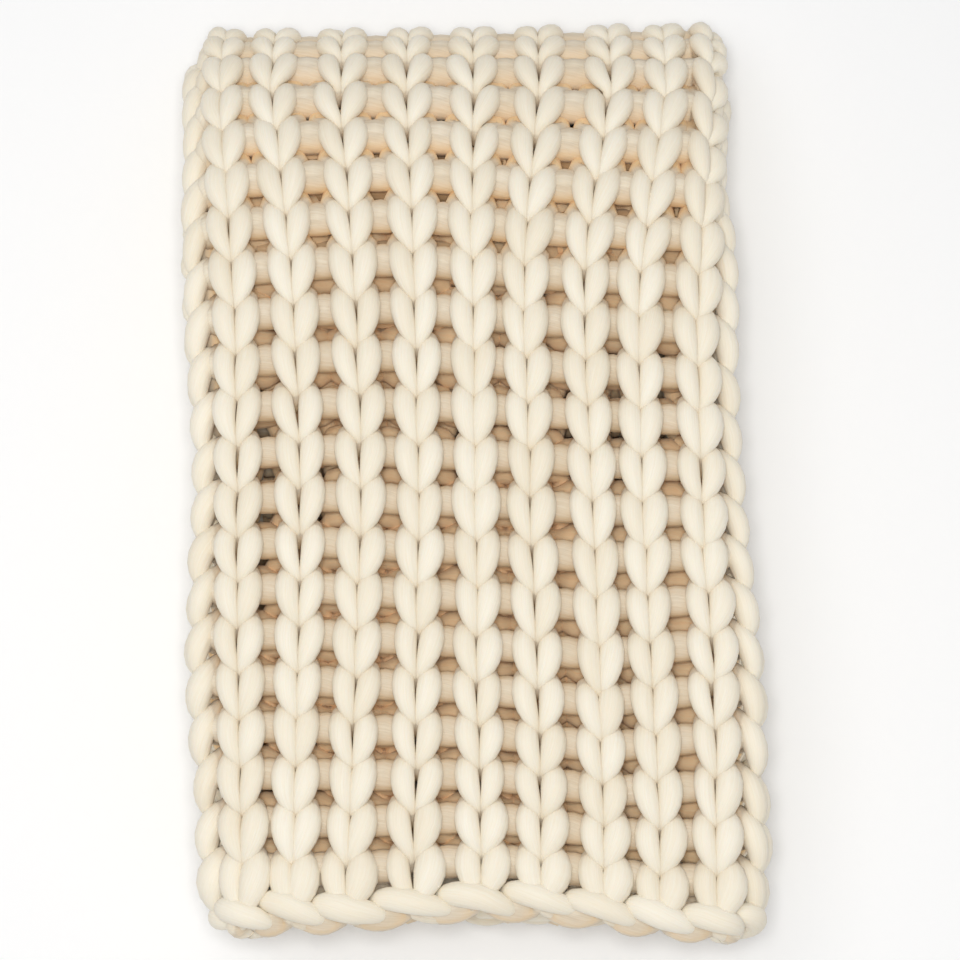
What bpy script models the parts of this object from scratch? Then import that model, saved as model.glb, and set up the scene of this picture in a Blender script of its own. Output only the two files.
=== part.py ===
"""Chunky knit throw in thick cream wool, folded for a shelf or a chair.

Both long sides are folded in to the middle, and the strip is then folded in half, so the pile
is four layers deep. It is one piece of stockinette: a long row of V stitches up each wale, with
a bar of yarn and a deep recess between neighbouring wales. +Y runs from the cast-on edge, which
ends in a chain, to the far fold. +X runs across the wales and +Z up. All sizes are in metres.
"""

import math

import bmesh
import bpy
import numpy as np

# Cloth
WALE = 0.0434  # width of one column of stitches
ROW = 0.0350  # height of one stitch
THICKNESS = 0.0345  # legs in front, bars behind
GAP = 0.0030  # air between two layers
HEIGHT = 4 * THICKNESS + 3 * GAP
ROWS = 42.0  # stitches from the chain at the top layer to the edge of the bottom layer

# Folds
FLAT_END = 0.162  # where the flat top starts to fall away towards the far fold
NEAR_END = -0.341  # mean place of the chain edge
UNDER_END = -0.317  # the bottom layer's edge lies a little further in
TURN_RADIUS = (THICKNESS + GAP) / 2  # middle of the cloth, round a side fold
SIDE_REACH = TURN_RADIUS + THICKNESS / 2  # outside of the cloth, round a side fold
TURN_WALES = 2.0  # wales that a side fold takes up
FLAP_SPLIT = (-0.006, 0.006)  # free edges of the left and the right flap, near the middle
INNER_TURN_ROWS = 2.6  # the inner layers turn back this many rows past the flat
BUNCHING = 4  # how late the inner layers' rows bunch up on the way to their fold
SQUEEZE = 0.10  # how much thinner the layers are in the far fold
SQUEEZE_LENGTH = 0.080

# Far fold, seen from the side: rows past the flat top, slope of the cloth's outer face
FAR_FOLD = (
    (0.0, 0.0),
    (1.0, 6.0),
    (2.0, 11.0),
    (3.0, 17.0),
    (4.0, 25.0),
    (5.0, 37.0),
    (6.0, 56.0),
    (7.0, 86.0),
    (8.8, 180.0),
)
FOLD_STEP = 0.001

# Outline seen from above: place along the pile, left edge, right edge
SIDES = (
    (-0.36, -0.190, 0.212),
    (-0.32, -0.202, 0.221),
    (-0.25, -0.209, 0.222),
    (-0.17, -0.217, 0.221),
    (-0.09, -0.216, 0.214),
    (-0.01, -0.213, 0.207),
    (0.08, -0.220, 0.203),
    (0.15, -0.225, 0.205),
    (0.36, -0.229, 0.209),
)

# Wales of the top layer: distance from the middle near the chain, half way, near the far fold
WALE_STATIONS = (-0.30, 0.00, 0.29)
WALES = (
    (-0.170, -0.178, -0.197),
    (-0.132, -0.130, -0.158),
    (-0.092, -0.084, -0.103),
    (-0.043, -0.041, -0.052),
    (0.007, 0.002, 0.000),
    (0.051, 0.042, 0.051),
    (0.098, 0.088, 0.108),
    (0.139, 0.127, 0.151),
    (0.181, 0.172, 0.189),
)
OUTER_WALE = (len(WALES) - 1) / 2

# Chain edge: how far each wale's link lies beyond NEAR_END, from left to right
CHAIN_DROOP = (-0.004, -0.003, -0.002, 0.003, 0.008, 0.005, 0.000, -0.006, -0.008)
DROOP_ROWS = 5.0

# One stitch, from its tip upwards. Columns: part of the row, distance of the two legs from the
# wale's middle in wales, then the depth below the cloth's face at the legs, between the legs,
# and between two wales, where the bar and the recess under it lie.
STITCH = (
    (0.00, 0.27, 0.0030, 0.0020, 0.0100),
    (0.33, 0.13, 0.0010, 0.0030, 0.0190),
    (0.67, 0.20, 0.0000, 0.0070, 0.0090),
)

# The chain, from its rim inwards. Columns: rows past the last stitch, depth at a link's middle,
# depth at its shoulders, depth where two links meet
CHAIN = (
    (-0.42, 0.0100, 0.0110, 0.0150),
    (-0.28, 0.0020, 0.0035, 0.0100),
    (-0.06, 0.0015, 0.0030, 0.0095),
)


def smooth_through(places, values, at):
    """Value at a place of the smooth curve through a short table."""
    slopes = np.gradient(values, places)
    i = min(max(int(np.searchsorted(places, at)) - 1, 0), len(places) - 2)
    span = places[i + 1] - places[i]
    t = min(max((at - places[i]) / span, 0.0), 1.0)
    start, end = slopes[i] * span, slopes[i + 1] * span
    rise = values[i + 1] - values[i]
    return values[i] + t * (start + t * (3 * rise - 2 * start - end + t * (start + end - 2 * rise)))


def squeeze(y):
    """Part of its full thickness that the cloth has at a place along the pile."""
    t = min(max((y - FLAT_END) / SQUEEZE_LENGTH, 0.0), 1.0)
    return 1.0 - SQUEEZE * t * t * (3.0 - 2.0 * t)


class Path:
    """A side view of the cloth: points with the slope and the length run so far."""

    def __init__(self, points):
        self.y, self.z, self.slope = (np.array(column) for column in zip(*points))
        steps = np.hypot(np.diff(self.y), np.diff(self.z))
        self.run = np.concatenate(([0.0], np.cumsum(steps)))
        self.tip = float(np.interp(math.pi / 2, self.slope, self.run))

    def at(self, run):
        """Point and outward normal, in Y and Z, after a length of cloth."""
        slope = float(np.interp(run, self.run, self.slope))
        point = np.array((np.interp(run, self.run, self.y), np.interp(run, self.run, self.z)))
        past = min(run, 0.0) + max(run - self.run[-1], 0.0)
        point += past * np.array((math.cos(slope), -math.sin(slope)))
        return point, np.array((math.sin(slope), math.cos(slope)))


def outer_path():
    """The cloth's outer face: flat top, far fold, flat underside."""
    rows, slopes = zip(*FAR_FOLD)
    runs = np.arange(0.0, rows[-1] * ROW, FOLD_STEP)
    angles = [math.radians(smooth_through(rows, slopes, run / ROW)) for run in runs]
    fall = np.cumsum([FOLD_STEP * math.sin(angle) for angle in angles])
    reach = np.cumsum([FOLD_STEP * math.cos(angle) for angle in angles])
    scale = HEIGHT / fall[-1]
    points = [(NEAR_END, HEIGHT, 0.0), (FLAT_END, HEIGHT, 0.0)]
    points += [
        (FLAT_END + out, HEIGHT - down * scale, angle)
        for out, down, angle in zip(reach, fall, angles)
    ]
    points += [(points[-1][0] - ROW, 0.0, math.pi), (UNDER_END, 0.0, math.pi)]
    return Path(points)


def inset(path, depth, last):
    """Points of a path up to a length of cloth, moved inwards by a depth."""
    points = []
    for run in path.run[path.run <= last]:
        point, normal = path.at(run)
        slope = float(np.interp(run, path.run, path.slope))
        y, z = point - normal * depth * squeeze(point[0])
        points.append((y, z, slope))
    return points


def inner_path(outer, depth):
    """The middle of the inner layers, which turn back earlier than the outer one."""
    flat = FLAT_END - NEAR_END
    points = inset(outer, depth, flat + INNER_TURN_ROWS * ROW)
    y, z, slope = points[-1]
    bottom = depth * squeeze(y)
    radius = (z - bottom) / (1.0 + math.cos(slope))
    middle = (y - radius * math.sin(slope), z - radius * math.cos(slope))
    for angle in np.linspace(slope, math.pi, 13)[1:]:
        points.append(
            (middle[0] + radius * math.sin(angle), middle[1] + radius * math.cos(angle), angle)
        )
    for y in np.linspace(points[-1][0], FLAT_END, 9)[1:]:
        points.append((y, depth * squeeze(y), math.pi))
    points.append((UNDER_END, depth, math.pi))
    return Path(points)


OUTER = outer_path()
INNER_LAYER = inner_path(OUTER, 1.5 * THICKNESS + GAP)
ROW_RUN = OUTER.run[-1] / ROWS


def layer_points(row):
    """Middle of the top layer and of the layer inside it at a row, with their normals."""
    outer_run = row * ROW_RUN
    point, normal = OUTER.at(outer_run)
    top = point - normal * THICKNESS / 2 * squeeze(point[0])
    if outer_run < OUTER.tip:
        part = max(outer_run, 0.0) / OUTER.tip
        inner_run = outer_run - (OUTER.tip - INNER_LAYER.tip) * part**BUNCHING
    else:
        left_outer, left_inner = OUTER.run[-1] - OUTER.tip, INNER_LAYER.run[-1] - INNER_LAYER.tip
        left = OUTER.run[-1] - outer_run
        part = max(left, 0.0) / left_outer
        inner_run = INNER_LAYER.run[-1] - left + (left_outer - left_inner) * part**BUNCHING
    inner, inner_normal = INNER_LAYER.at(inner_run)
    return top, normal, inner, inner_normal


def turn_start(side, y):
    """Where a side fold begins, seen from above; side is -1 for the left and 1 for the right."""
    column = 1 if side < 0 else 2
    edge = smooth_through([row[0] for row in SIDES], [row[column] for row in SIDES], y)
    return edge - side * SIDE_REACH


def lane(wale, y):
    """Turns a wale into a lane: 0 to 1 is the top layer, 1 to 2 a side fold, 2 to 3 a flap."""
    beyond = wale - min(max(wale, -OUTER_WALE), OUTER_WALE)
    index = min(max(wale + OUTER_WALE, 0.0), 2 * OUTER_WALE)
    left = min(int(index), len(WALES) - 2)
    near, far = (smooth_through(WALE_STATIONS, WALES[i], y) for i in (left, left + 1))
    across = near + (far - near) * (index - left) + beyond * WALE
    side = -1 if across < 0 else 1
    start = abs(turn_start(side, y))
    if abs(across) <= start:
        return across / start
    return side * (1.0 + (abs(across) - start) / (TURN_WALES * WALE))


def place(q, row, out, slide=0.0):
    """Point of the cloth in lane q at a row, a distance out from the middle of its thickness."""
    side = -1 if q < 0 else 1
    part = abs(q)
    top, normal, inner, inner_normal = layer_points(row)
    start = turn_start(side, top[0])
    thin = squeeze(top[0])
    if part <= 1.0:
        x, point, facing = start * part, top, (0.0, *normal)
    elif part <= 2.0:
        angle = math.pi * (part - 1.0)
        share = (1.0 - math.cos(angle)) / 2.0
        x = start + side * TURN_RADIUS * math.sin(angle)
        point = top * (1.0 - share) + inner * share
        flat = normal * (1.0 - share) + inner_normal * share
        flat = flat / np.linalg.norm(flat) * math.cos(angle)
        facing = (side * math.sin(angle), *flat)
    else:
        x = start + (FLAP_SPLIT[(side + 1) // 2] - start) * (part - 2.0)
        point, facing = inner, (0.0, *(-inner_normal))
    facing = np.array(facing)
    point = np.array((x, point[0] + slide, point[1])) + facing * out * thin
    return point, facing


def droop(wale, row):
    """How far the near end of the top layer is shifted along the pile at a wale."""
    wales = np.arange(len(CHAIN_DROOP)) - OUTER_WALE
    fade = max(1.0 - max(row, 0.0) / DROOP_ROWS, 0.0)
    return float(np.interp(wale, wales, CHAIN_DROOP)) * fade * fade


def knit_rows():
    """Rows of points over the cloth's face: row, leg spread and the three depths."""
    rows = [(past, 0.2, shoulder, middle, meet) for past, middle, shoulder, meet in CHAIN]
    for stitch in range(int(ROWS)):
        tip = 1 if stitch == 0 else 0  # the chain covers the first stitch's tip
        rows += [(stitch + part, spread, *depths) for part, spread, *depths in STITCH[tip:]]
    rows.append((ROWS, 0.2, 0.003, 0.003, 0.008))
    return rows


def knit_columns(spread, legs, between_legs, between_wales):
    """Wales of the face's columns of points with the depth at each."""
    last = int(OUTER_WALE + TURN_WALES)
    columns = []
    for wale in range(-last, last + 1):
        if wale > -last:
            columns += [(wale - 0.5, between_wales), (wale - spread, legs)]
        columns.append((wale, between_legs))
        if wale < last:
            columns.append((wale + spread, legs))
    return columns


def face_point(wale, depth, row):
    """Point of the knitted face; where the cloth faces the ground it is left flat."""
    y = layer_points(row)[0][0]
    q = lane(wale, y)
    facing = place(q, row, 0.0)[1]
    shown = min(max(1.0 + facing[2], 0.0), 1.0)
    return place(q, row, THICKNESS / 2 - depth * shown, droop(wale, row))[0]


BACK_LANES = (-3.0, -2.0, -1.5, -1.0, 1.0, 1.5, 2.0, 3.0)


def cloth_mesh():
    """The knitted face, the plain back and the rims between them, as one closed mesh."""
    mesh = bmesh.new()
    front, back = [], []
    for row, spread, *depths in knit_rows():
        columns = knit_columns(spread, *depths)
        ring = [mesh.verts.new(place(-3.0, row, THICKNESS / 2)[0])]
        ring += [mesh.verts.new(face_point(wale, depth, row)) for wale, depth in columns]
        ring.append(mesh.verts.new(place(3.0, row, THICKNESS / 2)[0]))
        front.append(ring)
        back.append([mesh.verts.new(place(q, row, -THICKNESS / 2)[0]) for q in BACK_LANES])
    for rings, turned in ((front, False), (back, True)):
        for near, far in zip(rings, rings[1:]):
            for i in range(len(near) - 1):
                corners = [near[i], near[i + 1], far[i + 1], far[i]]
                mesh.faces.new(corners[::-1] if turned else corners)
    for end, turned in ((0, True), (-1, False)):
        close_end(mesh, front[end], back[end], turned)
    for near_front, far_front, near_back, far_back in zip(front, front[1:], back, back[1:]):
        mesh.faces.new((near_back[0], near_front[0], far_front[0], far_back[0]))
        mesh.faces.new((near_front[-1], near_back[-1], far_back[-1], far_front[-1]))
    return mesh, front, back


def close_end(mesh, front, back, turned):
    """Faces between the front and the back at one end of the cloth."""
    wales = [column[0] for column in knit_columns(0.2, 0.0, 0.0, 0.0)]
    joins = [0]
    for q in BACK_LANES[1:-1]:
        side = -1 if q < 0 else 1
        wale = side * (OUTER_WALE + (abs(q) - 1.0) * TURN_WALES)
        joins.append(1 + int(np.argmin([abs(wale - other) for other in wales])))
    joins.append(len(front) - 1)
    for i, (first, last) in enumerate(zip(joins, joins[1:])):
        corners = front[first : last + 1] + [back[i + 1], back[i]]
        mesh.faces.new(corners[::-1] if not turned else corners)


def merge_flat(mesh, front, back):
    """Joins the faces of the hidden and the flat stretches that lie in one plane."""
    hidden = {vert for ring in back for vert in ring}
    hidden |= {vert for ring in front for vert in (ring[0], ring[-1])}
    plain = [face for face in mesh.faces if any(vert in hidden for vert in face.verts)]
    ground = [face for face in mesh.faces if all(abs(v.co.z) < 1e-6 for v in face.verts)]
    mesh.normal_update()
    edges = list({edge for face in plain + ground for edge in face.edges})
    inside = set(plain) | set(ground)
    edges = [edge for edge in edges if all(face in inside for face in edge.link_faces)]
    verts = list({vert for edge in edges for vert in edge.verts})
    bmesh.ops.dissolve_limit(
        mesh, angle_limit=math.radians(0.6), verts=verts, edges=edges, delimit=set()
    )


def wool_material():
    """Undyed cream wool."""
    material = bpy.data.materials.new("cream wool")
    material.use_nodes = True
    shader = material.node_tree.nodes["Principled BSDF"]
    shader.inputs["Base Color"].default_value = (0.84, 0.76, 0.62, 1.0)
    shader.inputs["Roughness"].default_value = 0.9
    shader.inputs["Metallic"].default_value = 0.0
    return material


def main():
    for thing in list(bpy.data.objects):
        bpy.data.objects.remove(thing)
    mesh, front, back = cloth_mesh()
    merge_flat(mesh, front, back)
    corners = np.array([vert.co for vert in mesh.verts])
    low, high = corners.min(axis=0), corners.max(axis=0)
    shift = (-(low[0] + high[0]) / 2, -(low[1] + high[1]) / 2, 0.0)
    bmesh.ops.translate(mesh, vec=shift, verts=mesh.verts)
    bmesh.ops.recalc_face_normals(mesh, faces=mesh.faces)
    data = bpy.data.meshes.new("blanket")
    mesh.to_mesh(data)
    mesh.free()
    data.materials.append(wool_material())
    blanket = bpy.data.objects.new("blanket", data)
    bpy.context.scene.collection.objects.link(blanket)


main()
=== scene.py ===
import math

import bmesh
import bpy
import numpy as np
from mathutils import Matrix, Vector


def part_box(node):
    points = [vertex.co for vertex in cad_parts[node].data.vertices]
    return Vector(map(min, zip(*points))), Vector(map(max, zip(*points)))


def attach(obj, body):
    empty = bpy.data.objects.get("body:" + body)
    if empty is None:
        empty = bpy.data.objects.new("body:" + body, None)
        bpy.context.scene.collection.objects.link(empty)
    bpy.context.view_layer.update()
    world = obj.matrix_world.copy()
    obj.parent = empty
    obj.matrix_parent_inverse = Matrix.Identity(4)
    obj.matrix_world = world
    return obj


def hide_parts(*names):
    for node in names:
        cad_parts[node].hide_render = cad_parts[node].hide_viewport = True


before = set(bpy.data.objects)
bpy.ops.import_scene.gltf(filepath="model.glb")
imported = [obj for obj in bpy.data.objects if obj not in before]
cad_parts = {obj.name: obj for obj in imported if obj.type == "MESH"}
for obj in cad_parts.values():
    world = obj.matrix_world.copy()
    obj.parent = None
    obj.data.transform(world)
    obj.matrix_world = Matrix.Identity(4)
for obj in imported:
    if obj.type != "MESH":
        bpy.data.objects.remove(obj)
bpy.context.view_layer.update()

# A hand-knit throw in thick cream wool, folded side to middle and then in half.
# +Y runs from the cast-on edge to the far fold, +X across the wales, +Z up. Sizes are in metres.

low, high = (np.array(corner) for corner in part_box("blanket"))


# ---------------------------------------------------------------------------------------------
# Knitted courses
#
# The cloth is one piece of stockinette in undyed merino roving, 21 stitches wide and 42 courses
# long, knitted by hand. Each course is one thick yarn: a pair of legs for every stitch on the
# outside and a bar behind from one stitch to the next. It lies folded in four layers, unsewn.
# ---------------------------------------------------------------------------------------------

# The pile's height, the gaps between its four layers, a layer's thickness, a wale's width, a row's
# length and the number of rows. Wales are numbered from -LAST_WALE to LAST_WALE, rows from 0.
HEIGHT = high[2] - low[2]
GAP = 0.003
THICKNESS = (HEIGHT - 3 * GAP) / 4
WALE = 0.0434
ROW = 0.0350
ROWS = 42
LAST_WALE = 10

# Where the flat top ends along the pile, and the near ends of the top layer and the bottom layer
FLAT_END = 0.162
NEAR_END = -0.341
UNDER_END = -0.317
# The side folds: radius in the middle of the cloth, reach, and the wales that each takes
TURN_RADIUS = (THICKNESS + GAP) / 2
SIDE_REACH = TURN_RADIUS + THICKNESS / 2
TURN_WALES = 2.0
# Where the left and the right flap end, across the pile
FLAP_SPLIT = (-0.006, 0.006)
# The inner layers turn back some rows past the flat top. A power says how late their rows bunch up.
INNER_TURN_ROWS = 2.6
BUNCHING = 4
# Part of its thickness that the cloth loses at the far fold, and the length over which it does
SQUEEZE = 0.10
SQUEEZE_LENGTH = 0.080
# Step along the far fold's curve, and points round the inner layers' turn and after it
PATH_STEP = 0.001
TURN_POINTS = 12
BACK_POINTS = 8

# Far fold, seen from the side: rows past the flat top, slope of the outer face in degrees
FAR_FOLD = (
    (0.0, 0.0),
    (1.0, 6.0),
    (2.0, 11.0),
    (3.0, 17.0),
    (4.0, 25.0),
    (5.0, 37.0),
    (6.0, 56.0),
    (7.0, 86.0),
    (8.8, 180.0),
)

# Outline from above: place along the pile, left edge, right edge
SIDES = (
    (-0.36, -0.190, 0.212),
    (-0.32, -0.202, 0.221),
    (-0.25, -0.209, 0.222),
    (-0.17, -0.217, 0.221),
    (-0.09, -0.216, 0.214),
    (-0.01, -0.213, 0.207),
    (0.08, -0.220, 0.203),
    (0.15, -0.225, 0.205),
    (0.27, -0.227, 0.202),
    (0.35, -0.231, 0.207),
)

# How much further out the far fold lies in its middle, how much that grows for each metre to the
# right, how much more it is on the side folds, and a power that says how late along the pile it
# sets in
FAR_REACH = 0.004
FAR_SKEW = 0.018
FAR_CORNERS = 0.020
FAR_ONSET = 4

# Wales of the top layer, left to right: distance from the middle at five places along the pile
WALE_STATIONS = (-0.30, -0.19, -0.01, 0.14, 0.29)
WALES = (
    (-0.170, -0.174, -0.178, -0.183, -0.197),
    (-0.132, -0.130, -0.130, -0.138, -0.158),
    (-0.092, -0.088, -0.084, -0.091, -0.103),
    (-0.043, -0.042, -0.041, -0.044, -0.052),
    (0.007, 0.004, 0.002, 0.000, 0.000),
    (0.051, 0.049, 0.042, 0.039, 0.051),
    (0.098, 0.096, 0.090, 0.087, 0.108),
    (0.139, 0.134, 0.127, 0.128, 0.151),
    (0.181, 0.180, 0.172, 0.173, 0.189),
)
OUTER_WALE = (len(WALES) - 1) / 2

# The flaps hold the wales that the top layer and the side folds leave, counted in side folds
FLAP_LANES = (LAST_WALE + 0.5 - OUTER_WALE - TURN_WALES) / TURN_WALES

# How far the rows of the flaps lie behind those of the layers that they are folded from, and the
# rows over which that fades out
STAGGER = 0.0175
STAGGER_SPAN = (ROWS + 3.0, ROWS - 1.0)

# How far each wale's rows lie beyond their mean place, at six rows counted from the chain
RISE_ROWS = (0.0, 1.5, 4.5, 9.5, 14.5, 19.0)
RISES = (
    (-0.002, 0.003, 0.005, 0.004, 0.010, 0.022),
    (0.000, 0.004, 0.006, 0.007, 0.013, 0.023),
    (0.001, 0.004, 0.003, 0.007, 0.017, 0.022),
    (0.006, 0.006, 0.002, 0.004, 0.018, 0.021),
    (0.011, 0.009, 0.000, 0.003, 0.013, 0.019),
    (0.008, 0.004, -0.005, 0.001, 0.007, 0.017),
    (0.003, -0.003, -0.011, -0.002, 0.005, 0.016),
    (-0.004, -0.006, -0.006, -0.004, 0.003, 0.014),
    (-0.006, -0.005, -0.001, -0.005, 0.001, 0.015),
)
# Wales from the middle, and rows, over which the rises fade out
RISE_WALE_SPAN = (6.5, 5.5)
RISE_ROW_SPAN = (23.0, 19.0)


def ramp(value, start, end):
    """0 up to the start, 1 from the end on, and even in between. The end may be the lower one."""
    return np.clip((value - start) / (end - start), 0.0, 1.0)


def smooth_through(places, values, at):
    """Values at places on the smooth curve through a short table."""
    places, values = np.asarray(places, float), np.asarray(values, float)
    slopes = np.gradient(values, places)
    i = np.clip(np.searchsorted(places, at) - 1, 0, len(places) - 2)
    span = places[i + 1] - places[i]
    t = np.clip((at - places[i]) / span, 0.0, 1.0)
    start, end = slopes[i] * span, slopes[i + 1] * span
    rise = values[i + 1] - values[i]
    return values[i] + t * (start + t * (3 * rise - 2 * start - end + t * (start + end - 2 * rise)))


def squeeze(y):
    """Part of its full thickness that the cloth has at a place along the pile."""
    t = ramp(y, FLAT_END, FLAT_END + SQUEEZE_LENGTH)
    return 1.0 - SQUEEZE * t * t * (3.0 - 2.0 * t)


class Path:
    """A side view of the cloth: points with the slope and the length run so far."""

    def __init__(self, y, z, slope):
        self.y, self.z, self.slope = y, z, slope
        self.run = np.concatenate(([0.0], np.cumsum(np.hypot(np.diff(y), np.diff(z)))))
        self.tip = float(np.interp(math.pi / 2, slope, self.run))

    def at(self, run):
        """Points and outward normals, in Y and Z, after lengths of cloth."""
        slope = np.interp(run, self.run, self.slope)
        past = np.minimum(run, 0.0) + np.maximum(run - self.run[-1], 0.0)
        y = np.interp(run, self.run, self.y) + past * np.cos(slope)
        z = np.interp(run, self.run, self.z) - past * np.sin(slope)
        return np.stack((y, z), -1), np.stack((np.sin(slope), np.cos(slope)), -1)


def outer_path():
    """The cloth's outer face: flat top, far fold, flat underside."""
    rows, slopes = zip(*FAR_FOLD)
    angles = np.radians(smooth_through(rows, slopes, np.arange(0.0, rows[-1], PATH_STEP / ROW)))
    fall = np.cumsum(PATH_STEP * np.sin(angles))
    reach = np.cumsum(PATH_STEP * np.cos(angles))
    y = FLAT_END + reach
    z = HEIGHT * (1.0 - fall / fall[-1])
    return Path(
        np.concatenate(((NEAR_END, FLAT_END), y, (y[-1] - ROW, UNDER_END))),
        np.concatenate(((HEIGHT, HEIGHT), z, (0.0, 0.0))),
        np.concatenate(((0.0, 0.0), angles, (math.pi, math.pi))),
    )


def inner_path(outer, depth):
    """The middle of the inner layers, which turn back earlier than the outer one."""
    run = outer.run[outer.run <= FLAT_END - NEAR_END + INNER_TURN_ROWS * ROW]
    points, normals = outer.at(run)
    points = points - normals * (depth * squeeze(points[:, 0]))[:, None]
    slopes = np.arctan2(normals[:, 0], normals[:, 1])
    bottom = depth * squeeze(points[-1, 0])
    radius = (points[-1, 1] - bottom) / (1.0 + math.cos(slopes[-1]))
    middle = points[-1] - radius * normals[-1]
    turn = np.linspace(slopes[-1], math.pi, TURN_POINTS + 1)[1:]
    back = np.linspace(middle[0], FLAT_END, BACK_POINTS + 1)[1:]
    return Path(
        np.concatenate((points[:, 0], middle[0] + radius * np.sin(turn), back, (UNDER_END,))),
        np.concatenate(
            (points[:, 1], middle[1] + radius * np.cos(turn), depth * squeeze(back), (depth,))
        ),
        np.concatenate((slopes, turn, np.full(len(back) + 1, math.pi))),
    )


OUTER = outer_path()
INNER = inner_path(OUTER, 1.5 * THICKNESS + GAP)
ROW_RUN = OUTER.run[-1] / ROWS


def rise(wale, row):
    """How far a row lies beyond its mean place at a wale."""
    index = np.clip(wale + OUTER_WALE, 0, 2 * OUTER_WALE)
    left = np.minimum(index.astype(int), len(RISES) - 2)
    at_wales = np.stack([smooth_through(RISE_ROWS, values, row) for values in RISES])
    columns = np.arange(len(row))
    near, far = at_wales[left, columns], at_wales[left + 1, columns]
    top = ramp(np.abs(wale), *RISE_WALE_SPAN)
    fade = ramp(row, *RISE_ROW_SPAN) * top
    behind = STAGGER * ramp(row, *STAGGER_SPAN)
    return (near + (far - near) * (index - left)) * fade + behind * (1.0 - top)


def layer_points(run):
    """Middles of the outer and the inner layer at lengths along the outer face, and normals."""
    point, normal = OUTER.at(run)
    thin = squeeze(point[:, 0])
    outer = point - normal * (THICKNESS / 2 * thin)[:, None]
    lag = OUTER.tip - INNER.tip
    inner_run = run - lag * (np.clip(run, 0.0, None) / OUTER.tip) ** BUNCHING
    left = OUTER.run[-1] - run
    left_part = np.clip(left, 0.0, None) / (OUTER.run[-1] - OUTER.tip)
    left_lag = (OUTER.run[-1] - OUTER.tip) - (INNER.run[-1] - INNER.tip)
    after = INNER.run[-1] - left + left_lag * left_part**BUNCHING
    inner, inner_normal = INNER.at(np.where(run < OUTER.tip, inner_run, after))
    return outer, normal, inner, inner_normal, thin


def turn_start(y, side):
    """Where the side folds begin, seen from above; side is -1 on the left and 1 on the right."""
    places, left, right = zip(*SIDES)
    edge = np.where(side < 0, smooth_through(places, left, y), smooth_through(places, right, y))
    return edge - side * SIDE_REACH


def lane(wale, y):
    """Turns a wale into a lane: 0 to 1 is the top layer, 1 to 2 a side fold, 2 to 3 a flap."""
    index = np.clip(wale + OUTER_WALE, 0, 2 * OUTER_WALE)
    left = np.minimum(index.astype(int), len(WALES) - 2)
    at_wales = np.stack([smooth_through(WALE_STATIONS, values, y) for values in WALES])
    columns = np.arange(len(y))
    near, far = at_wales[left, columns], at_wales[left + 1, columns]
    beyond = wale - np.clip(wale, -OUTER_WALE, OUTER_WALE)
    across = near + (far - near) * (index - left) + beyond * WALE
    side = np.where(across < 0, -1.0, 1.0)
    start = np.abs(turn_start(y, side))
    over = (np.abs(across) - start) / (TURN_WALES * WALE)
    return np.where(over <= 0.0, across / start, side * (1.0 + over))


def lay(wale, row, out):
    """Points of the cloth at wales and rows, a distance out from its middle, with its facing and
    how far it is folded in: 0 in the outer layer, 1 to 2 from the start to the end of a flap."""
    run = row * ROW_RUN + rise(wale, row)
    outer, normal, inner, inner_normal, thin = layer_points(run)
    q = lane(wale, outer[:, 0])
    side = np.where(q < 0, -1.0, 1.0)
    part = np.abs(q)
    start = turn_start(outer[:, 0], side)

    angle = math.pi * np.clip(part - 1.0, 0.0, 1.0)
    under = (1.0 - np.cos(angle)) / 2.0
    share = under[:, None]
    point = outer * (1.0 - share) + inner * share
    flat = normal * (1.0 - share) + inner_normal * share
    flat = flat / np.linalg.norm(flat, axis=1)[:, None] * np.cos(angle)[:, None]
    facing = np.column_stack((side * np.sin(angle), flat))

    flap_end = np.where(side < 0, FLAP_SPLIT[0], FLAP_SPLIT[1])
    x = start * np.minimum(part, 1.0) + side * TURN_RADIUS * np.sin(angle)
    past_turn = np.maximum(part - 2.0, 0.0)
    x = x + (flap_end - start) * past_turn / FLAP_LANES
    further = FAR_REACH + FAR_SKEW * x + FAR_CORNERS * np.sin(angle)
    further = further * ramp(point[:, 0], 0.0, high[1]) ** FAR_ONSET
    middle = np.column_stack((x, point[:, 0] + further, point[:, 1]))
    return middle + facing * (out * thin)[:, None], facing, under + past_turn / FLAP_LANES


# Half of a stitch's way through the cloth, from the middle of its head to the middle of the bar
# that joins it to the next one: at the chain, on the flats and over the far fold, where it is
# pulled tight. Columns: across in wales, up in rows, out in millimetres, radius in millimetres.
EDGE_HALF = (
    (0.000, 1.26, -9.0, 7.8),
    (0.135, 1.26, -6.8, 6.8),
    (0.208, 1.17, -1.8, 7.4),
    (0.234, 1.03, 2.6, 9.0),
    (0.240, 0.87, 6.0, 10.2),
    (0.228, 0.70, 8.0, 10.6),
    (0.198, 0.52, 8.8, 9.8),
    (0.156, 0.36, 8.8, 8.3),
    (0.110, 0.22, 7.8, 6.4),
    (0.070, 0.08, 5.0, 5.0),
    (0.056, -0.03, 1.0, 4.8),
    (0.070, -0.09, -4.0, 5.8),
    (0.120, -0.10, -6.0, 7.8),
    (0.235, -0.09, -6.2, 10.8),
    (0.365, -0.08, -5.6, 12.9),
    (0.500, -0.08, -5.2, 13.4),
)
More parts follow.
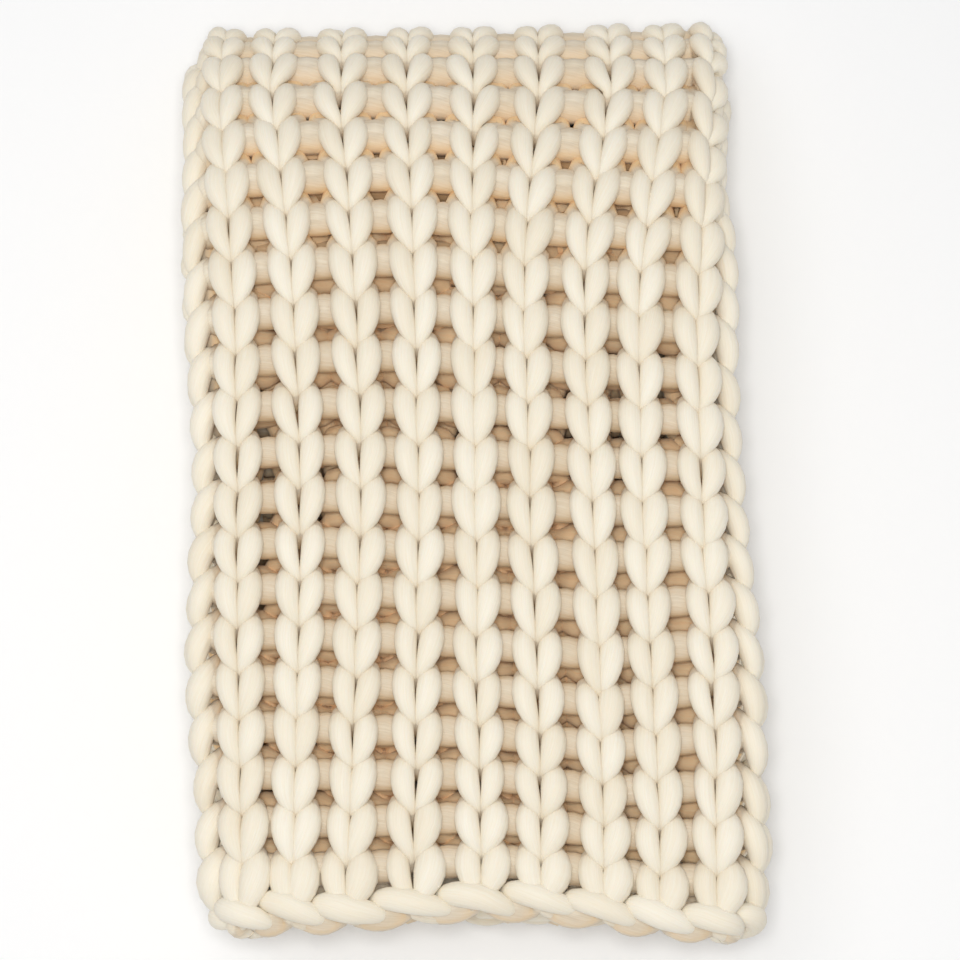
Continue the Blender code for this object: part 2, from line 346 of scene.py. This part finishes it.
FLAT_HALF = (
    (0.000, 1.26, -9.0, 7.8),
    (0.135, 1.26, -6.8, 6.8),
    (0.204, 1.17, -1.8, 7.0),
    (0.219, 1.03, 2.6, 8.3),
    (0.220, 0.87, 6.2, 9.1),
    (0.209, 0.70, 8.6, 9.2),
    (0.185, 0.52, 9.8, 8.5),
    (0.153, 0.36, 10.0, 7.6),
    (0.112, 0.22, 9.2, 6.0),
    (0.073, 0.10, 7.6, 4.3),
    (0.047, 0.00, 4.0, 3.6),
    (0.050, -0.09, -1.0, 4.4),
    (0.100, -0.17, -6.0, 6.8),
    (0.225, -0.19, -6.4, 9.8),
    (0.365, -0.17, -5.6, 11.7),
    (0.500, -0.16, -5.1, 12.2),
)
TIGHT_HALF = (
    (0.000, 1.42, -12.5, 10.0),
    (0.370, 1.43, -12.5, 10.0),
    (0.380, 1.22, -8.0, 7.4),
    (0.240, 1.02, 0.4, 8.2),
    (0.221, 0.87, 3.8, 9.2),
    (0.210, 0.70, 6.4, 9.3),
    (0.186, 0.52, 8.2, 8.7),
    (0.155, 0.36, 9.3, 7.8),
    (0.117, 0.22, 9.8, 6.4),
    (0.080, 0.10, 9.2, 4.9),
    (0.053, 0.00, 6.6, 3.8),
    (0.050, -0.09, 1.0, 4.4),
    (0.100, -0.17, -4.0, 7.0),
    (0.225, -0.19, -5.6, 10.8),
    (0.365, -0.17, -5.2, 13.1),
    (0.500, -0.16, -5.0, 13.6),
)
# Rows where each form of stitch is reached
STITCH_ROWS = (0.0, 2.0, 11.0, 16.0, 22.0, 26.0)
STITCH_FORMS = np.array((EDGE_HALF, FLAT_HALF, FLAT_HALF, TIGHT_HALF, TIGHT_HALF, FLAT_HALF))
MM = 0.001

# How much stitches differ, as standard deviations: lean and swing of the V in wales, lift in rows,
# width of the V and thickness of its legs in parts of one
LEAN, LIFT, SWING = 0.018, 0.032, 0.026
WIDTH_SPREAD = 0.08
LEG_SPREAD = 0.065
# Mean thickness of the left and the right legs. Next to the chain the left ones are thinner and the
# right ones thicker by EDGE_UNEVEN, which fades out over some rows.
LEFT_LEG, RIGHT_LEG = 0.99, 1.03
EDGE_UNEVEN = 0.17
EDGE_UNEVEN_ROWS = 2.0
# Wales that a course's yarn goes on past its last bar
TAIL = 0.04


def stitch_route(row, points):
    """Across, up, out and radius at even steps along a whole stitch, from bar to bar."""
    place = np.interp(row, STITCH_ROWS, np.arange(len(STITCH_ROWS)))
    before = min(int(place), len(STITCH_FORMS) - 2)
    form, next_form = STITCH_FORMS[before], STITCH_FORMS[before + 1]
    half = form + (next_form - form) * (place - before)
    left = half[::-1] * (-1, 1, 1, 1)
    whole = np.concatenate((left, half[1:]))
    knots = np.linspace(0.0, 1.0, len(whole))
    steps = np.arange(points) / points
    return np.column_stack([smooth_through(knots, column, steps) for column in whole.T])


def course(row, points, lopsided, dice):
    """Wale, row, out and radius along one course's yarn, each stitch a little different.

    A stitch's left leg is mostly the thinner one, above all next to the chain.
    """
    route = stitch_route(row, points)
    steps = np.arange(points) / points
    middle = np.sin(math.pi * steps) ** 2
    legs = (np.sin(math.pi * steps) * np.sin(2 * math.pi * steps)) ** 2
    pieces = []
    for wale in range(-LAST_WALE, LAST_WALE + 1):
        across, up, out, radius = route.T
        lean, lift, swing = dice.normal(0.0, (LEAN, LIFT, SWING))
        uneven = lopsided[wale] + EDGE_UNEVEN * max(0.0, 1.0 - row / EDGE_UNEVEN_ROWS)
        left_fat, right_fat = dice.normal((LEFT_LEG - uneven, RIGHT_LEG + uneven), LEG_SPREAD)
        fat = np.where(steps < 0.5, left_fat, right_fat)
        across = across * (1.0 + WIDTH_SPREAD * dice.normal() * legs)
        across = across + lean * middle + swing * (up - 0.5) * middle
        up = up + lift * middle
        radius = radius * (1.0 + (fat - 1.0) * legs)
        pieces.append(np.column_stack((wale + across, row + up, out * MM, radius * MM)))
    end = pieces[-1][-1] + (TAIL, 0.0, 0.0, 0.0)
    return np.concatenate(pieces + [end[None]])


# The two rings on a yarn's rounded end, in degrees from its last full ring. The tip is at 90.
END_RINGS = (70.0, 40.0)
# Turn of the fibres round the yarn, in radians for each metre: one round in 0.40 m
TWIST = 2 * math.pi / 0.40


def rounded(points, radius):
    """A line and its radius with two smaller rings past each end, so that a tube closes softly."""
    turns = np.radians(END_RINGS)
    first = points[0] - points[1]
    last = points[-1] - points[-2]
    first, last = first / np.linalg.norm(first), last / np.linalg.norm(last)
    before = points[0] + first * (radius[0] * np.sin(turns))[:, None]
    after = points[-1] + last * (radius[-1] * np.sin(turns[::-1]))[:, None]
    ends = np.cos(turns)
    return (
        np.concatenate((before, points, after)),
        np.concatenate((radius[0] * ends, radius, radius[-1] * ends[::-1])),
    )


def tube(points, facing, radius, sides, start):
    """Rings of points round a line, the faces between them, and the yarn's own coordinates."""
    points, radius = rounded(points, radius)
    facing = np.pad(facing, ((2, 2), (0, 0)), "edge")
    tangent = np.gradient(points, axis=0)
    tangent /= np.linalg.norm(tangent, axis=1)[:, None]
    across = np.cross(tangent, facing)
    across /= np.linalg.norm(across, axis=1)[:, None]
    out = np.cross(across, tangent)
    angles = np.linspace(0.0, 2 * math.pi, sides, endpoint=False)
    ring = across[:, None] * np.cos(angles)[:, None] + out[:, None] * np.sin(angles)[:, None]
    verts = (points[:, None] + ring * radius[:, None, None]).reshape(-1, 3)
    outward = np.einsum("pij,pj->pi", ring, facing) * radius[:, None]
    count = len(points)
    first = start + np.arange(count - 1)[:, None] * sides + np.arange(sides)
    after = start + np.arange(count - 1)[:, None] * sides + (np.arange(sides) + 1) % sides
    faces = np.stack((first, first + sides, after + sides, after), -1).reshape(-1, 4).tolist()
    faces.append((start + np.arange(sides)).tolist())
    faces.append((start + (count - 1) * sides + np.arange(sides))[::-1].tolist())
    length = np.concatenate(([0.0], np.cumsum(np.linalg.norm(np.diff(points, axis=0), axis=1))))
    twist = angles[None] + length[:, None] * TWIST
    along = np.broadcast_to(length[:, None], twist.shape)
    grain = np.stack((np.cos(twist), np.sin(twist), along), -1)
    return verts, faces, grain.reshape(-1, 3), outward


# Painted shade: the wool's colour follows its height, how far out it lies from the middle of the
# cloth. Low parts, such as the backs and sides of the stitches, the holes and the folded-in flaps,
# are painted darker and warmer, as shade and light bounced in the wool would make them. The values
# below make some of it count as higher or lower than it is, which paints less or more shade. A span
# runs from where none of a change applies to where all of it does.
# Legs of the stitches, painted with less shade: span in the yarn's distance out
LEG_LIFT = 0.003
LEG_SPAN = (0.0, 0.008)
# Inward side of the yarn near the cloth's two edges, painted with less shade: spans in rows from
# the edge, and in distance out from the middle of the yarn
EDGE_LIFT = 0.024
EDGE_SPAN = (1.5, 0.5)
EDGE_SIDE_SPAN = (0.006, -0.006)
# Side folds, painted with less shade
SIDE_LIFT = 0.007
# Flaps, which lie in the dark and are painted with extra shade: the inward side of their yarn
# where the side fold ends, and all of it further along the flap. Spans in parts of the side fold,
# in distance out from the middle of the yarn, and in parts of the side fold and the flap.
FLAP_PAINTED_SHADE = 0.030
FLAP_START_SPAN = (0.8, 1.0)
FLAP_SIDE_SPAN = (0.0, -0.006)
FLAP_ALL_SPAN = (1.155, 1.265)
# The lowest that any wool counts, which is the darkest painted shade, how much higher that is on
# the far fold, and how much lower the slits there are, which are painted as dark shade. Spans in
# rows from the far fold's middle, and in the yarn's distance out.
LOWEST = -0.014
FOLD_LIFT = 0.0165
FOLD_ROW = 20.5
FOLD_SPAN = (8.0, 3.0)
FOLD_SHOWN_SPAN = (-0.012, -0.008)
SLIT_PAINTED_SHADE = 0.007
SLIT_SPAN = (-0.009, -0.012)


def painted_shade_height(row, out, folded, outward):
    """Height that sets the painted shade: low in hidden flaps, high where the cloth lies open."""
    row, out, folded = (np.pad(values, 2, "edge")[:, None] for values in (row, out, folded))
    under = np.minimum(folded, 1.0)
    leg = ramp(out, *LEG_SPAN)
    edge = ramp(np.minimum(row, ROWS - row), *EDGE_SPAN)
    edge_side = edge * ramp(outward, *EDGE_SIDE_SPAN)
    side = 4.0 * under * (1.0 - under)
    in_dark = np.maximum(ramp(outward, *FLAP_SIDE_SPAN), ramp(folded, *FLAP_ALL_SPAN))
    hidden = ramp(under, *FLAP_START_SPAN) * in_dark
    # Painted shade: the lower this height, the darker and warmer the wool is painted.
    height = out + outward + LEG_LIFT * leg + EDGE_LIFT * edge_side + SIDE_LIFT * side
    height = height - FLAP_PAINTED_SHADE * hidden * (1.0 - edge)
    fold = ramp(np.abs(row - FOLD_ROW), *FOLD_SPAN)
    shown = fold * ramp(out, *FOLD_SHOWN_SPAN) * (1.0 - hidden)
    slit = fold * ramp(out, *SLIT_SPAN)
    return np.maximum(height, LOWEST + FOLD_LIFT * shown) - SLIT_PAINTED_SHADE * slit


# Step in the grain's pattern from one yarn to the next, so that no two look alike
GRAIN_STEP = 7.3


def yarn_piece(name, lines, sides, lift=0.0):
    """One mesh of many yarns. Each line holds wale, row, out and radius at its points, and lift is
    added to the height that sets the painted shade."""
    verts, faces, grains, painted_shade_heights = [], [], [], []
    total = 0
    for index, line in enumerate(lines):
        wale, row, out, radius = line.T
        points, facing, folded = lay(wale, row, out)
        tube_verts, tube_faces, grain, outward = tube(points, facing, radius, sides, total)
        verts.append(tube_verts)
        faces += tube_faces
        grains.append(grain + (0.0, 0.0, index * GRAIN_STEP))
        # Painted shade: this height sets how dark and warm the wool is painted at each point.
        painted_shade_heights.append(lift + painted_shade_height(row, out, folded, outward).ravel())
        total += len(tube_verts)
    verts = np.concatenate(verts)
    verts[:, 2] = np.maximum(verts[:, 2], 0.0)
    mesh = bpy.data.meshes.new(name)
    mesh.from_pydata(verts.tolist(), [], faces)
    mesh.shade_smooth()
    grain = mesh.attributes.new("grain", "FLOAT_VECTOR", "POINT")
    grain.data.foreach_set("vector", np.concatenate(grains).astype(np.float32).ravel())
    # The depth attribute carries that height of the painted shade to the wool's material.
    depth = mesh.attributes.new("depth", "FLOAT", "POINT")
    depth.data.foreach_set("value", np.concatenate(painted_shade_heights).astype(np.float32))
    piece = bpy.data.objects.new(name, mesh)
    bpy.context.scene.collection.objects.link(piece)
    return piece


# Wool colour by its height in the stitch, with painted shade: the wool's own cream at the top, and
# darker, warmer colours lower down for shade and light bounced in the wool. Columns: millimetres
# out from the cloth's middle, colour
WOOL_AND_PAINTED_SHADE_COLOURS = (
    (-21.0, (0.50, 0.32, 0.17)),
    (-14.0, (0.97, 0.70, 0.43)),
    (-3.0, (0.90, 0.67, 0.40)),
    (3.5, (0.79, 0.66, 0.50)),
    (6.9, (0.70, 0.61, 0.485)),
    (9.2, (0.86, 0.775, 0.635)),
    (17.0, (0.905, 0.842, 0.715)),
)
DEEPEST, HIGHEST = WOOL_AND_PAINTED_SHADE_COLOURS[0][0] * MM, WOOL_AND_PAINTED_SHADE_COLOURS[-1][0] * MM


def wool_material():
    """Undyed merino roving: cream, matt, fine fibres along the yarn, painted warm shade in hollows.
    """
    material = bpy.data.materials.new("cream_wool")
    material.use_nodes = True
    nodes, links = material.node_tree.nodes, material.node_tree.links
    shader = nodes["Principled BSDF"]
    shader.inputs["Roughness"].default_value = 0.85
    shader.inputs["Sheen Weight"].default_value = 0.15
    shader.inputs["Sheen Roughness"].default_value = 0.5
    shader.inputs["Specular IOR Level"].default_value = 0.15
    shader.inputs["Subsurface Weight"].default_value = 0.15
    shader.inputs["Subsurface Radius"].default_value = (1.0, 0.8, 0.6)
    shader.inputs["Subsurface Scale"].default_value = 0.006

    grain = nodes.new("ShaderNodeAttribute")
    grain.attribute_name = "grain"

    def grain_noise(stretch, scale, detail):
        """Noise on the yarn's own coordinates: two round it and one along it."""
        mapping = nodes.new("ShaderNodeMapping")
        mapping.inputs["Scale"].default_value = stretch
        links.new(grain.outputs["Vector"], mapping.inputs["Vector"])
        noise = nodes.new("ShaderNodeTexNoise")
        noise.inputs["Scale"].default_value = scale
        noise.inputs["Detail"].default_value = detail
        noise.inputs["Roughness"].default_value = 0.6
        links.new(mapping.outputs["Vector"], noise.inputs["Vector"])
        return noise.outputs["Fac"]

    fibres = grain_noise(stretch=(1.0, 1.0, 3.0), scale=12.0, detail=4.0)
    bands = grain_noise(stretch=(1.0, 1.0, 4.0), scale=2.6, detail=1.0)
    drift = grain_noise(stretch=(0.2, 0.2, 5.0), scale=1.0, detail=1.0)

    # Painted shade: the depth attribute picks a colour from the ramp of painted shade below.
    depth = nodes.new("ShaderNodeAttribute")
    depth.attribute_name = "depth"
    height = nodes.new("ShaderNodeMapRange")
    height.inputs["From Min"].default_value = DEEPEST
    height.inputs["From Max"].default_value = HIGHEST
    links.new(depth.outputs["Fac"], height.inputs["Value"])
    painted_shade_ramp = nodes.new("ShaderNodeValToRGB")
    stops = painted_shade_ramp.color_ramp.elements
    for millimetres, _ in WOOL_AND_PAINTED_SHADE_COLOURS[1:-1]:
        stops.new((millimetres * MM - DEEPEST) / (HIGHEST - DEEPEST))
    for stop, (millimetres, colour) in zip(stops, WOOL_AND_PAINTED_SHADE_COLOURS):
        stop.position = (millimetres * MM - DEEPEST) / (HIGHEST - DEEPEST)
        stop.color = (*colour, 1.0)
    links.new(height.outputs["Result"], painted_shade_ramp.inputs["Fac"])

    contrast = nodes.new("ShaderNodeMapRange")
    contrast.inputs["From Min"].default_value = 0.3
    contrast.inputs["From Max"].default_value = 0.7
    links.new(fibres, contrast.inputs["Value"])
    streak = nodes.new("ShaderNodeMix")
    streak.data_type = "RGBA"
    streak.blend_type = "SOFT_LIGHT"
    streak.inputs["Factor"].default_value = 0.22
    links.new(painted_shade_ramp.outputs["Color"], streak.inputs["A"])
    links.new(contrast.outputs["Result"], streak.inputs["B"])

    shift = nodes.new("ShaderNodeValToRGB")
    shift.color_ramp.elements[0].position = 0.35
    shift.color_ramp.elements[0].color = (0.955, 0.935, 0.90, 1.0)
    shift.color_ramp.elements[1].position = 0.65
    shift.color_ramp.elements[1].color = (1.0, 1.0, 1.0, 1.0)
    links.new(drift, shift.inputs["Fac"])
    dyed = nodes.new("ShaderNodeMix")
    dyed.data_type = "RGBA"
    dyed.blend_type = "MULTIPLY"
    dyed.inputs["Factor"].default_value = 1.0
    links.new(streak.outputs["Result"], dyed.inputs["A"])
    links.new(shift.outputs["Color"], dyed.inputs["B"])
    links.new(dyed.outputs["Result"], shader.inputs["Base Color"])

    relief = nodes.new("ShaderNodeMix")
    relief.data_type = "FLOAT"
    relief.inputs["Factor"].default_value = 0.55
    links.new(fibres, relief.inputs["A"])
    links.new(bands, relief.inputs["B"])
    bump = nodes.new("ShaderNodeBump")
    bump.inputs["Strength"].default_value = 0.5
    bump.inputs["Distance"].default_value = 0.0014
    links.new(relief.outputs["Result"], bump.inputs["Height"])
    links.new(bump.outputs["Normal"], shader.inputs["Normal"])
    return material


WOOL = wool_material()


def finish_piece(piece):
    """Gives a piece its wool and ties it to the frame."""
    piece.data.materials.append(WOOL)
    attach(piece, "root")
    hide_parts("blanket")


SEED = 12
# How much thinner a wale's left legs and thicker its right ones are: mean and standard deviation
LOPSIDED = (0.02, 0.05)
dice = np.random.default_rng(SEED)
lopsided = dice.normal(*LOPSIDED, 2 * LAST_WALE + 1)
# Name, first course, course after the last one, points a stitch, sides of the yarn
COURSE_GROUPS = (
    ("Courses_near", 0, 12, 28, 14),
    ("Courses_far", 12, 24, 28, 14),
    ("Courses_under", 24, ROWS, 22, 11),
)
for name, first, last, points, sides in COURSE_GROUPS:
    lines = [course(row, points, lopsided, dice) for row in range(first, last)]
    finish_piece(yarn_piece(name, lines, sides))


# ---------------------------------------------------------------------------------------------
# Chain edges
#
# The cast-on, at the near end of the top layer, and the bind-off, under it at the end of the bottom
# layer. Each is a chain of slanted links in the same wool, one for every stitch: a plump strand
# that lies in front and a thinner one behind it.
# ---------------------------------------------------------------------------------------------

# The front strand of one link and the strand behind it. Columns: across in wales, past the last
# stitch in rows, out in millimetres, radius in millimetres.
LINK_FRONT = (
    (-0.62, -0.10, -2.0, 5.0),
    (-0.48, -0.12, 5.5, 8.0),
    (-0.28, -0.09, 9.6, 9.6),
    (-0.02, -0.01, 10.6, 9.7),
    (0.24, 0.08, 8.6, 8.6),
    (0.46, 0.16, 3.2, 6.4),
    (0.62, 0.20, -4.0, 4.2),
)
LINK_BACK = (
    (-0.15, 0.03, -4.0, 5.0),
    (0.10, 0.12, -4.5, 7.5),
    (0.40, 0.16, -5.0, 8.5),
    (0.72, 0.12, -5.0, 7.5),
    (0.95, 0.02, -4.0, 5.0),
)
LINK_POINTS = 14
CHAIN_SIDES = 14
# Row of each chain's line, and how much higher than it lies the wool of a chain counts, which
# paints the chain with less shade
TOP_CHAIN_ROW = 0.05
BOTTOM_CHAIN_ROW = ROWS + 0.05
CHAIN_LIFT = 0.006
# How much links differ, as standard deviations: shift in wales, drop in rows, thickness and slant
LINK_SHIFT, LINK_DROP = 0.02, 0.03
LINK_FAT, LINK_TILT = 0.05, 0.15


def link(strand, wale, edge, away, dice):
    """Wale, row, out and radius along one strand of a link; away is -1 at the first row."""
    knots = np.linspace(0.0, 1.0, len(strand))
    steps = np.linspace(0.0, 1.0, LINK_POINTS)
    across, past, out, radius = (smooth_through(knots, column, steps) for column in zip(*strand))
    shift, drop = dice.normal(0.0, (LINK_SHIFT, LINK_DROP))
    fat, tilt = dice.normal(1.0, (LINK_FAT, LINK_TILT))
    row = edge + away * (past * tilt + drop)
    return np.column_stack((wale + across + shift, row, out * MM, radius * fat * MM))


def chain_edge(name, edge, away, dice):
    """A row of chain links along an edge of the cloth."""
    lines = [
        link(strand, wale, edge, away, dice)
        for wale in range(-LAST_WALE, LAST_WALE + 1)
        for strand in (LINK_FRONT, LINK_BACK)
    ]
    finish_piece(yarn_piece(name, lines, CHAIN_SIDES, lift=CHAIN_LIFT))


chain_edge("Chain_top_layer", TOP_CHAIN_ROW, -1, dice)
chain_edge("Chain_bottom_layer", BOTTOM_CHAIN_ROW, 1, dice)


# ---------------------------------------------------------------------------------------------
# Floor, light and camera
#
# A plain pale floor, a soft light a little to the left of the pile, a stronger one from near the
# camera, and even light from all round. The camera looks down at the pile's top from the near end.
# ---------------------------------------------------------------------------------------------

FLOOR_SIZE = 8.0
floor_mesh = bpy.data.meshes.new("Floor")
plane = bmesh.new()
bmesh.ops.create_grid(plane, x_segments=1, y_segments=1, size=FLOOR_SIZE / 2)
plane.to_mesh(floor_mesh)
plane.free()
floor = bpy.data.objects.new("Floor", floor_mesh)
bpy.context.scene.collection.objects.link(floor)
floor_material = bpy.data.materials.new("pale_floor")
floor_material.use_nodes = True
floor_shader = floor_material.node_tree.nodes["Principled BSDF"]
floor_shader.inputs["Base Color"].default_value = (0.985, 0.985, 0.99, 1.0)
floor_shader.inputs["Roughness"].default_value = 0.9
floor_mesh.materials.append(floor_material)

LIGHT_TARGET = Vector((0.0, 0.0, 0.1))
LIGHT_COLOUR = (1.0, 1.0, 0.99)


def soft_light(name, place, size, power):
    """A square area light at a place, aimed at the pile. Size in metres, power in watts."""
    data = bpy.data.lights.new(name, "AREA")
    data.size = size
    data.energy = power
    data.color = LIGHT_COLOUR
    lamp = bpy.data.objects.new(name, data)
    lamp.location = place
    lamp.rotation_euler = (LIGHT_TARGET - Vector(place)).to_track_quat("-Z", "Y").to_euler()
    bpy.context.scene.collection.objects.link(lamp)


soft_light("Key", place=(-0.55, 0.15, 2.0), size=1.2, power=6.7)
soft_light("Front", place=(-0.03, -0.40, 2.6), size=0.5, power=27.0)
world = bpy.data.worlds.new("Studio")
bpy.context.scene.world = world
world.use_nodes = True
background = world.node_tree.nodes["Background"]
background.inputs["Color"].default_value = (1.0, 1.0, 1.0, 1.0)
background.inputs["Strength"].default_value = 0.49
bpy.context.scene.view_settings.view_transform = "Standard"

ELEVATION = math.radians(80.0)
CAMERA_DISTANCE = 2.4
PIXELS = 960
METRES_PER_PIXEL = 0.00075  # on the pile's top, in the middle of the view
aim = Vector((0.0055, -0.019, HEIGHT))
camera_data = bpy.data.cameras.new("Camera")
camera_data.sensor_fit = "HORIZONTAL"
camera_data.angle = 2 * math.atan(PIXELS / 2 * METRES_PER_PIXEL / CAMERA_DISTANCE)
camera_data.clip_end = 50.0
camera = bpy.data.objects.new("Camera", camera_data)
toward = Vector((0.0, math.cos(ELEVATION), -math.sin(ELEVATION)))
camera.location = aim - toward * CAMERA_DISTANCE
camera.rotation_euler = toward.to_track_quat("-Z", "Y").to_euler()
bpy.context.scene.collection.objects.link(camera)
bpy.context.scene.camera = camera
